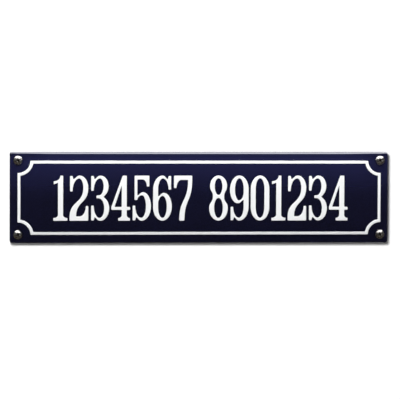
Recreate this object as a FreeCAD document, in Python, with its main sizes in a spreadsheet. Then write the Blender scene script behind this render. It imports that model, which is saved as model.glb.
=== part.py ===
"""Street name sign: a domed plate of enamelled sheet steel with a turned edge, held by four screws.

The sign is 33 by 8 cm. One sheet is pressed into a shallow pan: its edge is turned back to the
wall all round, and the face swells forward in a low cushion that rolls off towards its edges.
Round each of the four corner holes it is pressed into a flat land, where a screw head seats. A
white enamel line runs round the face and steps aside for each screw in a hollow quarter circle.
The field inside is plain.

Frame, in millimetres: X runs along the sign, Z is up and Y points into the wall. The wall's
surface is the plane Y = 0 and the origin is the middle of the four screws on it, so the face
looks towards negative Y.
"""

import FreeCAD, Part
import os

import Sketcher
from FreeCAD import Vector

PARTS_FOLDER = "parts"

# Driving sizes: name, value (millimetres unless the meaning says otherwise) and meaning
SIZES = (
    ("sign_width", "330", "plate, outside, along X"),
    ("sign_height", "79", "plate, outside, along Z"),
    ("rim_depth", "8.5", "from the wall to the face at the plate's edge"),
    ("crown_rise", "3.5", "how far the middle of the face stands in front of its edge"),
    ("crown_power", "6", "shape of the cushion across the height, a power: high is flat with rolled edges"),
    ("end_roll", "45", "length of each end over which the cushion falls away"),
    ("sheet_thickness", "1.4", "steel with its enamel"),
    ("shoulder_radius", "1.7", "outside radius of the turned edge"),
    ("corner_ease", "0.3", "ground corner's radius past the shoulder's"),
    ("fold_bevel", "0.4", "bevel of enamel gathered inside the fold"),
    ("screw_inset_side", "7", "screw axis from the plate's end"),
    ("screw_inset_edge", "7.25", "screw axis from the plate's long edge"),
    ("hole_gap", "0.5", "clearance round the thread in its hole"),
    ("land_radius", "3", "flat land round each hole, under the head"),
    ("land_blend", "4.5", "width of the ring between the land and the open cushion"),
    ("seat_gap", "0.2", "clearance round the head in its coined seat"),
    ("seat_depth", "0.15", "coined seat under the land"),
    ("line_inset_side", "6", "white line's outer edge from the plate's end"),
    ("line_inset_edge", "6.85", "white line's outer edge from the plate's long edge"),
    ("line_width_upright", "2.8", "width of the two upright lines"),
    ("line_width_long", "3.1", "width of the two long lines"),
    ("scallop_radius", "10.4", "outer edge of the corner arc from the screw axis"),
    ("scallop_width", "3.1", "width of the corner arc"),
    ("enamel_relief", "0.2", "how far the white line stands off the blue"),
    ("bed_gap", "0.07", "clearance under the white line, between two curved faces"),
    ("head_diameter", "8", "half round head"),
    ("head_height", "2.8", "half round head"),
    ("neck_diameter", "3", "plain neck under the head"),
    ("neck_length", "3", "plain neck under the head"),
    ("thread_diameter", "4", "over the crests of the thread"),
    ("point_length", "4.5", "tapered end of the thread"),
    ("screw_length", "30", "from under the head to the point"),
    ("recess_span", "4.6", "cross recess from tip to tip, at the top of the head"),
    ("recess_wing", "1.1", "width of one wing of the cross"),
    ("recess_depth", "1.7", "cross recess from the top of the head"),
    ("recess_slope", "12", "slope of the recess walls, in degrees"),
    ("overrun", "2", "how far a shape that cuts or trims runs past its piece"),
    ("spans_at_end", "9", "spans of the cushion's surface along each rolled end"),
    ("spans_between", "5", "spans of the cushion's surface between the ends"),
    ("spans_across", "20", "spans of the cushion's surface over the height"),
)

# Degree of the cushion's surface, in both directions
SURFACE_DEGREE = 3

# Numbers by which a sketch knows its own origin, its upright axis and the points of an edge
SKETCH_ORIGIN = (-1, 1)
UPRIGHT_AXIS_INDEX = -2
START_INDEX, END_INDEX, CENTRE_INDEX = 1, 2, 3

# The four corners as signs of X and Z, going round clockwise from the upper right
CORNERS = ((1, 1), (1, -1), (-1, -1), (-1, 1))

# Expressions of the sheet that more than one piece uses
HALF_WIDTH = "sizes.sign_width / 2"
HALF_HEIGHT = "sizes.sign_height / 2"
INSIDE = " - sizes.sheet_thickness"
SCREW_X = HALF_WIDTH + " - sizes.screw_inset_side"
SCREW_Z = HALF_HEIGHT + " - sizes.screw_inset_edge"
LAND_ALONG = "(1 - (1 - sizes.screw_inset_side / sizes.end_roll) ^ 2)"
LAND_ACROSS = "(1 - (1 - 2 * sizes.screw_inset_edge / sizes.sign_height) ^ sizes.crown_power)"
LAND_RISE = "sizes.crown_rise * %s * %s" % (LAND_ALONG, LAND_ACROSS)
SEAT_LEVEL = "sizes.rim_depth - sizes.seat_depth + " + LAND_RISE
BEYOND_FACE = "sizes.rim_depth + sizes.crown_rise + sizes.overrun"


# The document, its sheet of sizes, and helpers that bind a feature to the sheet


def make_sheet(document):
    """The spreadsheet that holds each driving size under its own name."""
    made = document.addObject("Spreadsheet::Sheet", "sizes")
    for row, (name, number, meaning) in enumerate(SIZES, start=1):
        made.set("A%d" % row, name)
        made.set("B%d" % row, number)
        made.set("C%d" % row, meaning)
        made.setAlias("B%d" % row, name)
    document.recompute()
    return made


doc = FreeCAD.newDocument("street_name_sign")
sheet = make_sheet(doc)


def value(expression):
    """What an expression of the sheet comes to."""
    return float(sheet.evalExpression(expression))


def signed(sign, expression):
    """An expression with the sign of the side that it stands on."""
    return "%d * (%s)" % (sign, expression)


def origin_feature(body, role):
    """A plane or axis of a body's own origin."""
    return next(feature for feature in body.Origin.OriginFeatures if feature.Role == role)


def new_body(label, start=None):
    """A body, empty or starting from the shape of another object."""
    body = doc.addObject("PartDesign::Body", label)
    body.Label = label
    body.BaseFeature = start
    doc.recompute()
    return body


def new_sketch(body, name, role, forward=None):
    """A sketch on one of the body's origin planes, moved along its normal by an expression."""
    sketch = body.newObject("Sketcher::SketchObject", name)
    sketch.AttachmentSupport = (origin_feature(body, role), [""])
    sketch.MapMode = "FlatFace"
    if forward:
        sketch.setExpression("AttachmentOffset.Base.z", forward)
    return sketch


def tie(sketch, kind, *elements, to):
    """A dimension of a sketch, bound to an expression."""
    index = sketch.addConstraint(Sketcher.Constraint(kind, *elements, value(to)))
    sketch.setExpression("Constraints[%d]" % index, to)


def tie_point(sketch, edge, point, across, up):
    """Hold a point of a sketch at a place given by two expressions."""
    tie(sketch, "DistanceX", *SKETCH_ORIGIN, edge, point, to=across)
    tie(sketch, "DistanceY", *SKETCH_ORIGIN, edge, point, to=up)


def join(sketch, edge, following):
    """Join the end of one edge to the start of the next."""
    sketch.addConstraint(Sketcher.Constraint("Coincident", edge, END_INDEX, following, START_INDEX))


def add_polygon(sketch, corners):
    """A closed outline of straight edges through corners given as pairs of expressions."""
    points = [Vector(value(across), value(up), 0) for across, up in corners]
    for edge, (across, up) in enumerate(corners):
        sketch.addGeometry(Part.LineSegment(points[edge], points[(edge + 1) % len(points)]))
        tie_point(sketch, edge, START_INDEX, across, up)
    for edge in range(len(corners)):
        join(sketch, edge, (edge + 1) % len(corners))


def add_pad(body, sketch, length, name):
    """Pad a sketch along its normal by an expression."""
    feature = body.newObject("PartDesign::Pad", name)
    feature.Profile = sketch
    feature.setExpression("Length", length)
    doc.recompute()
    return feature


def add_pocket(body, sketch, length, name):
    """Pocket a sketch along its normal by an expression."""
    feature = body.newObject("PartDesign::Pocket", name)
    feature.Profile = sketch
    feature.Reversed = True
    feature.setExpression("Length", length)
    doc.recompute()
    return feature


def dress_edges(body, kind, chosen, property_name, amount, name):
    """Fillet or chamfer those edges of a body for which chosen(edge, faces) is true."""
    base = body.Tip
    edges = []
    for number, edge in enumerate(base.Shape.Edges, start=1):
        if chosen(edge, base.Shape.ancestorsOfType(edge, Part.Face)):
            edges.append("Edge%d" % number)
    feature = body.newObject("PartDesign::" + kind, name)
    feature.Base = (base, edges)
    feature.setExpression(property_name, amount)
    body.Tip = feature
    doc.recompute()


def combine(kind, name, base, tool):
    """A boolean of two objects: Part::Cut or Part::Common."""
    made = doc.addObject(kind, name)
    made.Label = name
    made.Base = base
    made.Tool = tool
    doc.recompute()
    return made


# The cushion: how far the face stands in front of its edge, and a block with that face


def soft_step(share):
    """Rises smoothly from 0 to 1 with its share, and is level outside."""
    share = min(max(share, 0.0), 1.0)
    return share * share * (3.0 - 2.0 * share)


def open_rise(x, z):
    """Height of the cushion in front of its edge, before the lands are pressed flat."""
    into_end = max(0.0, (abs(x) - value(HALF_WIDTH)) / value("sizes.end_roll") + 1.0)
    across = 1.0 - abs(z / value(HALF_HEIGHT)) ** value("sizes.crown_power")
    return value("sizes.crown_rise") * (1.0 - into_end**2) * across


def face_rise(x, z):
    """Height of the face in front of its edge: the cushion, level with each screw's axis round it."""
    to_screw = ((abs(x) - value(SCREW_X)) ** 2 + (abs(z) - value(SCREW_Z)) ** 2) ** 0.5
    off_land = soft_step((to_screw - value("sizes.land_radius")) / value("sizes.land_blend"))
    return value(LAND_RISE) + (open_rise(x, z) - value(LAND_RISE)) * off_land


def even_steps(first, last, spans):
    """Numbers from first to last in as many even steps as a size says, both ends included."""
    count = round(value(spans))
    return [first + (last - first) * step / count for step in range(count + 1)]


def knots_along():
    """Divisions of the surface along X: short at the two ends, long between them."""
    inner = value(HALF_WIDTH + " - sizes.end_roll")
    right = even_steps(inner, value(HALF_WIDTH + " + sizes.overrun"), "sizes.spans_at_end")
    left = [-knot for knot in reversed(right)]
    return left + even_steps(-inner, inner, "sizes.spans_between")[1:-1] + right


def knots_across():
    """Divisions of the surface along Z."""
    reach = value(HALF_HEIGHT + " + sizes.overrun")
    return even_steps(-reach, reach, "sizes.spans_across")


def pole_places(knots):
    """Where the poles stand over the knots, so that the surface runs evenly between its ends."""
    repeats = SURFACE_DEGREE - 1
    padded = [knots[0]] * repeats + knots + [knots[-1]] * repeats
    last = len(padded) - repeats
    return [sum(padded[first : first + SURFACE_DEGREE]) / SURFACE_DEGREE for first in range(last)]


def times_at(knots):
    """How often each knot counts: the first and last hold the surface's edge."""
    return [SURFACE_DEGREE + 1] + [1] * (len(knots) - 2) + [SURFACE_DEGREE + 1]


def add_cushion(name, inward):
    """A block whose front is the cushioned face, moved towards the wall by an expression."""
    along = knots_along()
    across = knots_across()
    edge_level = -value("sizes.rim_depth")
    poles = [
        [Vector(x, edge_level - face_rise(x, z), z) for z in pole_places(across)]
        for x in pole_places(along)
    ]
    counts = (times_at(along), times_at(across))
    face = Part.BSplineSurface()
    face.buildFromPolesMultsKnots(
        poles, *counts, along, across, False, False, SURFACE_DEGREE, SURFACE_DEGREE
    )
    made = doc.addObject("Part::Feature", name)
    made.Shape = face.toShape().extrude(Vector(0, value(BEYOND_FACE), 0))
    made.setExpression("Placement.Base.y", inward)
    doc.recompute()
    return made


# The pressed plate


def is_upright_corner(edge, faces):
    """Whether an edge of a blank runs from the wall forward."""
    return edge.BoundBox.YLength > max(edge.BoundBox.XLength, edge.BoundBox.ZLength)


def is_shoulder(edge, faces):
    """Whether an edge of a formed blank lies between its cushioned face and one of its sides."""
    in_front = edge.BoundBox.YMax < -value("sizes.rim_depth") / 2
    return in_front and any(isinstance(face.Surface, (Part.Plane, Part.Cylinder)) for face in faces)


def add_blank(name, half_x, half_z):
    """A square-cornered slab from the wall's surface past the face."""
    body = new_body(name)
    sketch = new_sketch(body, name + "_outline", "XZ_Plane")
    add_polygon(sketch, [(signed(right, half_x), signed(up, half_z)) for right, up in CORNERS])
    add_pad(body, sketch, BEYOND_FACE, name + "_slab")
    return body


def add_form(name, blank, cushion):
    """A body that starts from a blank given the cushioned face."""
    return new_body(name, start=combine("Part::Common", name + "_faced", blank, cushion))


def four_circles(body, name, radius, forward=None):
    """A sketch of one circle about each screw axis."""
    sketch = new_sketch(body, name, "XZ_Plane", forward)
    for circle, (right, up) in enumerate(CORNERS):
        centre = Vector(right * value(SCREW_X), up * value(SCREW_Z), 0)
        sketch.addGeometry(Part.Circle(centre, Vector(0, 0, 1), value(radius)))
        tie_point(sketch, circle, CENTRE_INDEX, signed(right, SCREW_X), signed(up, SCREW_Z))
        tie(sketch, "Radius", circle, to=radius)
    return sketch


def make_sign_plate():
    """The pan: its outer form less its inner form, with coined seats and four holes."""
    shoulder = "sizes.shoulder_radius"
    corner = shoulder + " + sizes.corner_ease"
    outer_blank = add_blank("outer_blank", HALF_WIDTH, HALF_HEIGHT)
    dress_edges(outer_blank, "Fillet", is_upright_corner, "Radius", corner, "ground_corners")
    outer_block = add_cushion("outer_cushion", "0")
    outside = add_form("outer_form", outer_blank, outer_block)
    dress_edges(outside, "Fillet", is_shoulder, "Radius", shoulder, "rounded_shoulder")
    inner_blank = add_blank("inner_blank", HALF_WIDTH + INSIDE, HALF_HEIGHT + INSIDE)
    inner_block = add_cushion("inner_cushion", "sizes.sheet_thickness")
    inside = add_form("inner_form", inner_blank, inner_block)
    dress_edges(inside, "Chamfer", is_shoulder, "Size", "sizes.fold_bevel", "bevelled_fold")
    pan = combine("Part::Cut", "pan", outside, inside)
    plate = new_body("sign_plate", start=pan)
    seat_radius = "sizes.head_diameter / 2 + sizes.seat_gap"
    seats = four_circles(plate, "seat_circles", seat_radius, forward=SEAT_LEVEL)
    add_pocket(plate, seats, BEYOND_FACE, "coined_seats")
    holes = four_circles(plate, "hole_circles", "sizes.thread_diameter / 2 + sizes.hole_gap")
    add_pocket(plate, holes, BEYOND_FACE, "screw_holes")
    return plate


# The white line


def scalloped_arcs(half_x, half_z, radius):
    """Hollow arcs about the four screws, each ending on the straight sides at half_x and half_z."""
    reach_x = value(half_x)
    reach_z = value(half_z)
    sweep = value(radius)
    on_long_side = value(SCREW_X) - (sweep**2 - (reach_z - value(SCREW_Z)) ** 2) ** 0.5
    on_upright = value(SCREW_Z) - (sweep**2 - (reach_x - value(SCREW_X)) ** 2) ** 0.5
    arcs = []
    for right, up in CORNERS:
        centre = Vector(right * value(SCREW_X), up * value(SCREW_Z), 0)
        innermost = centre - Vector(right, up, 0).normalize() * sweep
        ends = [Vector(right * on_long_side, up * reach_z, 0), Vector(right * reach_x, up * on_upright, 0)]
        if right != up:
            ends.reverse()
        arcs.append(Part.Arc(ends[0], innermost, ends[1]))
    return arcs


def add_scalloped_outline(sketch, half_x, half_z, radius):
    """A closed outline with straight sides and a hollow arc about each screw."""
    first = sketch.GeometryCount
    arcs = scalloped_arcs(half_x, half_z, radius)
    for corner, arc in enumerate(arcs):
        following = arcs[(corner + 1) % len(arcs)]
        sketch.addGeometry(arc)
        sketch.addGeometry(Part.LineSegment(arc.EndPoint, following.StartPoint))
    count = sketch.GeometryCount - first
    for corner, (right, up) in enumerate(CORNERS):
        arc = first + 2 * corner
        side = arc + 1
        tie_point(sketch, arc, CENTRE_INDEX, signed(right, SCREW_X), signed(up, SCREW_Z))
        tie(sketch, "Radius", arc, to=radius)
        join(sketch, arc, side)
        join(sketch, side, first + (2 * corner + 2) % count)
        if right == up:
            sketch.addConstraint(Sketcher.Constraint("Vertical", side))
            tie(sketch, "DistanceX", *SKETCH_ORIGIN, side, START_INDEX, to=signed(right, half_x))
        else:
            sketch.addConstraint(Sketcher.Constraint("Horizontal", side))
            tie(sketch, "DistanceY", *SKETCH_ORIGIN, side, START_INDEX, to=signed(up, half_z))


def make_white_border():
    """The line, as a thin layer of enamel that follows the cushioned face."""
    half_x = HALF_WIDTH + " - sizes.line_inset_side"
    half_z = HALF_HEIGHT + " - sizes.line_inset_edge"
    body = new_body("line_blank")
    sketch = new_sketch(body, "line_outline", "XZ_Plane")
    add_scalloped_outline(sketch, half_x, half_z, "sizes.scallop_radius")
    add_scalloped_outline(
        sketch,
        half_x + " - sizes.line_width_upright",
        half_z + " - sizes.line_width_long",
        "sizes.scallop_radius + sizes.scallop_width",
    )
    add_pad(body, sketch, BEYOND_FACE, "line_slab")
    raised_block = add_cushion("raised_cushion", "-sizes.enamel_relief")
    raised_line = combine("Part::Common", "raised_line", body, raised_block)
    bed_block = add_cushion("bed_cushion", "-sizes.bed_gap")
    return combine("Part::Cut", "white_border", raised_line, bed_block)


# The four screws


def screw_profile(body):
    """Half section of a screw on its axis: domed head, plain neck, thread and point."""
    sketch = new_sketch(body, "screw_profile", "XY_Plane")
    head = "sizes.head_diameter / 2"
    neck = "sizes.neck_diameter / 2"
    thread = "sizes.thread_diameter / 2"
    steps = (
        ("0", "-sizes.head_height"),
        (head, "0"),
        (neck, "0"),
        (neck, "sizes.neck_length"),
        (thread, "sizes.neck_length"),
        (thread, "sizes.screw_length - sizes.point_length"),
        ("0", "sizes.screw_length"),
    )
    points = [Vector(value(across), value(along), 0) for across, along in steps]
    top, rim = points[:2]
    dome_radius = (rim.x**2 + top.y**2) / (2 * abs(top.y))
    centre = Vector(0, top.y + dome_radius, 0)
    on_dome = centre + (top + rim - centre * 2).normalize() * dome_radius
    sketch.addGeometry(Part.Arc(top, on_dome, rim))
    for point, following in zip(points[1:], points[2:] + points[:1]):
        sketch.addGeometry(Part.LineSegment(point, following))
    for edge, (across, along) in enumerate(steps):
        tie_point(sketch, edge, START_INDEX, across, along)
        join(sketch, edge, (edge + 1) % len(steps))
    sketch.addConstraint(Sketcher.Constraint("PointOnObject", 0, CENTRE_INDEX, UPRIGHT_AXIS_INDEX))
    return sketch


def cross_profile(body):
    """The mouth of the cross recess, as a sketch level with the top of the head."""
    sketch = new_sketch(body, "cross_profile", "XZ_Plane", forward="sizes.head_height")
    span = "sizes.recess_span / 2"
    wing = "sizes.recess_wing / 2"
    outline = []
    for right, up in CORNERS:
        at_corner = [(wing, span), (wing, wing), (span, wing)]
        if right != up:
            at_corner.reverse()
        outline += [(signed(right, across), signed(up, along)) for across, along in at_corner]
    add_polygon(sketch, outline)
    return sketch


def make_fixing_screws():
    """Four like screws in one node: one is turned, recessed and repeated at the plate's holes."""
    body = new_body("fixing_screws")
    body.AllowCompound = True
    profile = screw_profile(body)
    turned = body.newObject("PartDesign::Revolution", "turned_screw")
    turned.Profile = profile
    turned.ReferenceAxis = (profile, ["V_Axis"])
    doc.recompute()
    recess = body.newObject("PartDesign::Pocket", "cross_recess")
    recess.Profile = cross_profile(body)
    recess.setExpression("Length", "sizes.recess_depth")
    recess.setExpression("TaperAngle", "-sizes.recess_slope")
    doc.recompute()
    pattern = body.newObject("PartDesign::LinearPattern", "screw_pattern")
    pattern.TransformMode = "Whole shape"
    pattern.Direction = (origin_feature(body, "X_Axis"), [""])
    pattern.setExpression("Length", signed(2, SCREW_X))
    pattern.Occurrences = 2
    pattern.Direction2 = (origin_feature(body, "Z_Axis"), [""])
    pattern.setExpression("Length2", signed(2, SCREW_Z))
    pattern.Occurrences2 = 2
    body.Tip = pattern
    body.setExpression("Placement.Base.x", signed(-1, SCREW_X))
    body.setExpression("Placement.Base.y", signed(-1, SEAT_LEVEL))
    body.setExpression("Placement.Base.z", signed(-1, SCREW_Z))
    doc.recompute()
    return body


# Making, checking and writing the pieces


def check_document(pieces):
    """Stop if an object failed to compute or a piece has no sound shape."""
    for item in doc.Objects:
        if "Invalid" in item.State or "Error" in item.State:
            raise RuntimeError("%s did not compute: %s" % (item.Label, item.State))
    for piece in pieces:
        if piece.Shape.isNull() or not piece.Shape.isValid():
            raise RuntimeError("%s has no valid shape" % piece.Label)


def write_pieces(pieces):
    """One STEP file for each piece, named after it."""
    os.makedirs(PARTS_FOLDER, exist_ok=True)
    for piece in pieces:
        piece.Shape.exportStep(os.path.join(PARTS_FOLDER, piece.Label + ".step"))
        print(piece.Label, len(piece.Shape.Solids), round(piece.Shape.Volume, 1), "cubic millimetres")


def main():
    """Make the sign and write its pieces."""
    pieces = [make_sign_plate(), make_white_border(), make_fixing_screws()]
    doc.recompute()
    check_document(pieces)
    write_pieces(pieces)


main()
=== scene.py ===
"""Street name sign: the looks of a cushioned enamel plate, its white line and numerals and its screws.

Lengths are in metres, in the frame of the packed model: X runs along the sign, Z is up and Y
points into the wall. The face looks towards negative Y.
"""

import math

import bmesh
import bpy
from mathutils import Matrix, Vector


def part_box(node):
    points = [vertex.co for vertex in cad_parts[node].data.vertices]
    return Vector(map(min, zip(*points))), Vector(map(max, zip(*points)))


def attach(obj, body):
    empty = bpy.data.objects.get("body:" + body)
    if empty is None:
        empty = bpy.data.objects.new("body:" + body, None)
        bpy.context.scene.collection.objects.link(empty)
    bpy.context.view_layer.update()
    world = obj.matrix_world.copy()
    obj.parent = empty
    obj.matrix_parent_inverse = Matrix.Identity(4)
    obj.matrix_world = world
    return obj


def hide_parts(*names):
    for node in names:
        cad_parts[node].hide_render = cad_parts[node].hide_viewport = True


bl_info = {
    "name": "Enamel street sign",
    "version": (1, 0, 0),
    "blender": (4, 5, 0),
    "location": "View3D > Sidebar > Street sign",
    "description": "Builds an enamelled street name sign round its fixed frame",
    "category": "Add Mesh",
}

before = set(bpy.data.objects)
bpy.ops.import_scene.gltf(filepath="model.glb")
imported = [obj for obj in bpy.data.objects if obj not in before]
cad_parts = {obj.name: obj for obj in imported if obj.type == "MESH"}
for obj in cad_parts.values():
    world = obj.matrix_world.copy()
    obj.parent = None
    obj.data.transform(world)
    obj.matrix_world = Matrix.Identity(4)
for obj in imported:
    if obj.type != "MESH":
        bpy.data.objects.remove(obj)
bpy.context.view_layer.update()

MM = 0.001
X_AXIS = Vector((1, 0, 0))
Y_AXIS = Vector((0, 1, 0))
Z_AXIS = Vector((0, 0, 1))
ORIGIN = Vector((0, 0, 0))

# Turns a flat mesh that faces up so that it faces the reader
STAND_UP = Matrix.Rotation(math.radians(90), 4, "X")

# Points closer than this count as being in one place
TOUCH = 0.01 * MM

PLATE_LOW, PLATE_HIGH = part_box("sign_plate")
SCREWS_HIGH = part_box("fixing_screws")[1]

# The four corners clockwise from the upper right, with the signs of their X and Z
CORNERS = {
    "upper_right": (1, 1), "lower_right": (1, -1), "lower_left": (-1, -1), "upper_left": (-1, 1),
}


# Properties: the sizes and colours that a user would change


def length(name, description, default):
    """A length property whose default is given in millimetres."""
    return bpy.props.FloatProperty(
        name=name, description=description, default=default * MM, min=0, unit="LENGTH", precision=5
    )


def angle(name, description, default):
    """An angle property whose default is given in degrees."""
    return bpy.props.FloatProperty(
        name=name, description=description, default=math.radians(default), subtype="ANGLE"
    )


def number(name, description, default):
    """A plain number."""
    return bpy.props.FloatProperty(name=name, description=description, default=default, precision=4)


def colour(name, description, default):
    """A colour without alpha."""
    return bpy.props.FloatVectorProperty(
        name=name, description=description, default=default, size=3, min=0, max=1, subtype="COLOR"
    )


class SignPlateSizes(bpy.types.PropertyGroup):
    """The pressed plate."""

    rim_depth: length("Rim depth", "From the wall to the face at the plate's edge", 8.5)
    crown_rise: length("Crown rise", "How far the middle of the face stands out", 3.5)
    crown_power: number("Crown power", "Shape of the cushion across the height", 6)
    end_roll: length("End roll", "Length of each end over which the cushion falls", 45)
    sheet: length("Sheet", "Steel with its enamel", 1.4)
    shoulder: length("Shoulder", "Outside radius of the turned edge", 1.7)
    corner: length("Corner", "Radius of the plate's corners", 2)
    land_radius: length("Land radius", "Flat land round each hole", 3)
    land_blend: length("Land blend", "Ring between the land and the cushion", 4.5)
    seat_radius: length("Seat radius", "Coined seat of a screw head", 4.2)
    seat_depth: length("Seat depth", "Coined seat under the land", 0.15)
    seat_wall: length("Seat wall", "Width of the seat's sloping wall", 0.1)
    hole_radius: length("Hole radius", "Hole for a screw", 2.5)
    edge_round: length("Edge round", "Rounding of the enamel on cut edges", 0.25)


class WhiteLineSizes(bpy.types.PropertyGroup):
    """The white line round the face."""

    inset_side: length("Side inset", "Outer edge of the line from the plate's end", 6.6)
    inset_edge: length("Edge inset", "Outer edge of the line from the plate's long edge", 7.45)
    width_upright: length("Upright width", "Width of the upright lines", 2.4)
    width_long: length("Long width", "Width of the long lines", 2.3)
    scallop_radius: length("Scallop radius", "Outer edge of a corner arc from the screw", 10.75)
    scallop_width: length("Scallop width", "Width of a corner arc", 2.6)
    nick: length("Rounded corner", "Rounding where an arc meets a straight line", 0.42)


class NumeralSizes(bpy.types.PropertyGroup):
    """The row of numerals."""

    wording: bpy.props.StringProperty(
        name="Wording", description="Digits and spaces to set on the face", default="1234567 8901234"
    )
    left: length("Left", "Start of the row to the left of the middle", 127.6)
    right: length("Right", "End of the row to the right of the middle", 129.1)
    foot: length("Foot", "Foot of the digits below the middle", 19.85)
    height: length("Height", "Height of the digits", 39.15)
    space: length("Space", "Gap between the two groups", 14.9)
    gap: length("Gap", "Gap between two digits", 1.9)
    nick: length("Rounded corner", "Rounding of the corners of a digit", 0.7)


class EnamelSizes(bpy.types.PropertyGroup):
    """How the raised white enamel lies on the blue."""

    relief: length("Relief", "How far the white stands off the blue", 0.2)
    bedding: length("Bedding", "How far the white is sunk into the blue", 0.15)
    soft_edge: length("Soft edge", "Rounding along the edge of the white", 0.14)
    slice_step: length("Slice step", "How closely the white follows the cushion", 1.6)


class ScrewSizes(bpy.types.PropertyGroup):
    """The four screws."""

    head_radius: length("Head radius", "Half round head", 4)
    head_height: length("Head height", "Half round head", 2.8)
    head_lip: length("Head lip", "Upright edge of the head under its dome", 0.25)
    neck_radius: length("Neck radius", "Plain neck under the head", 1.5)
    neck_length: length("Neck length", "Plain neck under the head", 3)
    thread_radius: length("Thread radius", "Over the crests", 2)
    root_radius: length("Root radius", "Core between the turns of the thread", 1.35)
    pitch: length("Pitch", "Distance between two turns of the thread", 1.8)
    point: length("Point", "Tapered end of the thread", 4.5)
    shank: length("Length", "From under the head to the point", 30)
    recess_span: length("Recess span", "Cross recess from tip to tip", 4.6)
    recess_wing: length("Recess wing", "Width of one wing of the cross", 1.4)
    recess_hub: length("Recess hub", "Radius of the deeper middle of the cross", 1.4)
    recess_depth: length("Recess depth", "Deepest part of the cross recess", 1.9)
    recess_worn: length("Recess edge", "Width of the recess's worn edge", 0.3)
    recess_lean: angle("Recess lean", "Slope of the recess's walls", 66)
    turned: angle("Turned", "How far the recesses are turned", 20)


class EnamelColours(bpy.types.PropertyGroup):
    """Finishes."""

    blue: colour("Blue", "Fired blue enamel of the face", (0.0079, 0.0085, 0.0350))
    white: colour("White", "Fired white enamel", (0.86, 0.87, 0.87))
    ground: colour("Ground coat", "Enamel on the plate's back", (0.011, 0.012, 0.019))
    steel: colour("Screw", "Zinc on the screws", (0.62, 0.60, 0.57))
    # The recess colour is painted shade: dark metal that stands for the shade deep in the cross
    # recesses.
    recess_shade: colour("Recess", "Dull metal in the recesses", (0.08, 0.07, 0.055))


class EnamelPanelSizes(bpy.types.PropertyGroup):
    """The overhead panel that lights the enamel."""

    height: length("Height", "Above the sign's middle", 170)
    front: length("Front", "Front edge before the wall", 78)
    back: length("Back", "Back edge behind the wall", 43)
    span: length("Length", "Along the sign", 700)
    glow: number("Glow", "Radiance", 12.4)


class ScrewPanelSizes(bpy.types.PropertyGroup):
    """The overhead panel that lights the screws."""

    height: length("Height", "Above the sign's middle", 1000)
    front: length("Front", "Front edge before the wall", 700)
    back: length("Back", "Back edge behind the wall", 450)
    span: length("Length", "Along the sign", 1800)
    glow: number("Glow", "Radiance", 2.0)


class StageSettings(bpy.types.PropertyGroup):
    """Camera, lamps and backdrop."""

    azimuth: angle("Azimuth", "Camera round the sign, to its left", 5)
    elevation: angle("Elevation", "Camera above the sign", 3)
    roll: angle("Roll", "Camera about its own axis", 0.218)
    distance: length("Distance", "Camera from the sign", 3200)
    lens: number("Lens", "Focal length in millimetres", 330.2)
    shift_x: number("Shift X", "Sideways shift of the frame", 0.0029)
    shift_y: number("Shift Y", "Upright shift of the frame", -0.0073)
    wall_azimuth: angle("Wall lamp azimuth", "Wall lamp to the left", 14.2)
    wall_elevation: angle("Wall lamp elevation", "Wall lamp above the sign", 19)
    wall_size: length("Wall lamp size", "Side of the wall lamp", 380)
    wall_glow: number("Wall glow", "Radiance of the wall lamp", 155)
    fill_elevation: angle("Fill elevation", "Soft lamp in front, above the sign", 30)
    fill_glow: number("Fill glow", "Radiance of the soft lamp in front", 6.5)
    rear_glow: number("Rear glow", "Radiance of the soft lamp behind the wall", 1.4921)
    sky: number("Sky", "Strength of the world overhead", 0.8)
    horizon: number("Horizon", "Strength of the world at the horizon", 0.09)
    ground: number("Ground", "Strength of the world below the horizon", 0.06)
    sky_tint: colour("Sky tint", "Colour of the world above the horizon", (0.96, 0.98, 1.0))
    ground_tint: colour("Ground tint", "Colour of the world below the horizon", (1.0, 0.86, 0.66))
    floor_drop: length("Floor drop", "Floor below the sign's middle", 450)


PROPERTY_GROUPS = {
    "sign_plate_sizes": SignPlateSizes,
    "sign_line_sizes": WhiteLineSizes,
    "sign_numeral_sizes": NumeralSizes,
    "sign_enamel_sizes": EnamelSizes,
    "sign_screw_sizes": ScrewSizes,
    "sign_colours": EnamelColours,
    "sign_enamel_panel": EnamelPanelSizes,
    "sign_screw_panel": ScrewPanelSizes,
    "sign_stage": StageSettings,
}


# The cushion: how far the face stands in front of its edge


def soft_step(part):
    """Rises smoothly from 0 to 1 with its share, and is level outside."""
    part = min(max(part, 0.0), 1.0)
    return part * part * (3.0 - 2.0 * part)


def screw_places():
    """The four screw axes on the wall, from the box of the packed screws."""
    inset = bpy.context.scene.sign_screw_sizes.head_radius
    reach_x = SCREWS_HIGH.x - inset
    reach_z = SCREWS_HIGH.z - inset
    return [Vector((right * reach_x, 0, up * reach_z)) for right, up in CORNERS.values()]


def open_rise(plate, x, z):
    """Height of the cushion in front of its edge, before the lands are pressed flat."""
    into_end = max(0.0, (abs(x) - PLATE_HIGH.x) / plate.end_roll + 1.0)
    across = 1.0 - min(abs(z) / PLATE_HIGH.z, 1.0) ** plate.crown_power
    return plate.crown_rise * (1.0 - min(into_end, 1.0) ** 2) * across


def face_rise(plate, x, z):
    """Height of the face in front of its edge: the cushion, level round each screw's axis."""
    screw = screw_places()[0]
    land = open_rise(plate, screw.x, screw.z)
    to_screw = math.hypot(abs(x) - screw.x, abs(z) - screw.z)
    off_land = soft_step((to_screw - plate.land_radius) / plate.land_blend)
    return land + (open_rise(plate, x, z) - land) * off_land


def seat_level(plate):
    """Where the screw heads sit, as a place on the Y axis."""
    screw = screw_places()[0]
    return -(plate.rim_depth + open_rise(plate, screw.x, screw.z) - plate.seat_depth)


# Mesh helpers

# A rounded corner takes up this share of its shorter side at most, so that neighbours stay apart
CORNER_SHARE = 0.45

# A vertex this close to a cut lies on it
ON_CUT = 0.0001 * MM


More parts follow.
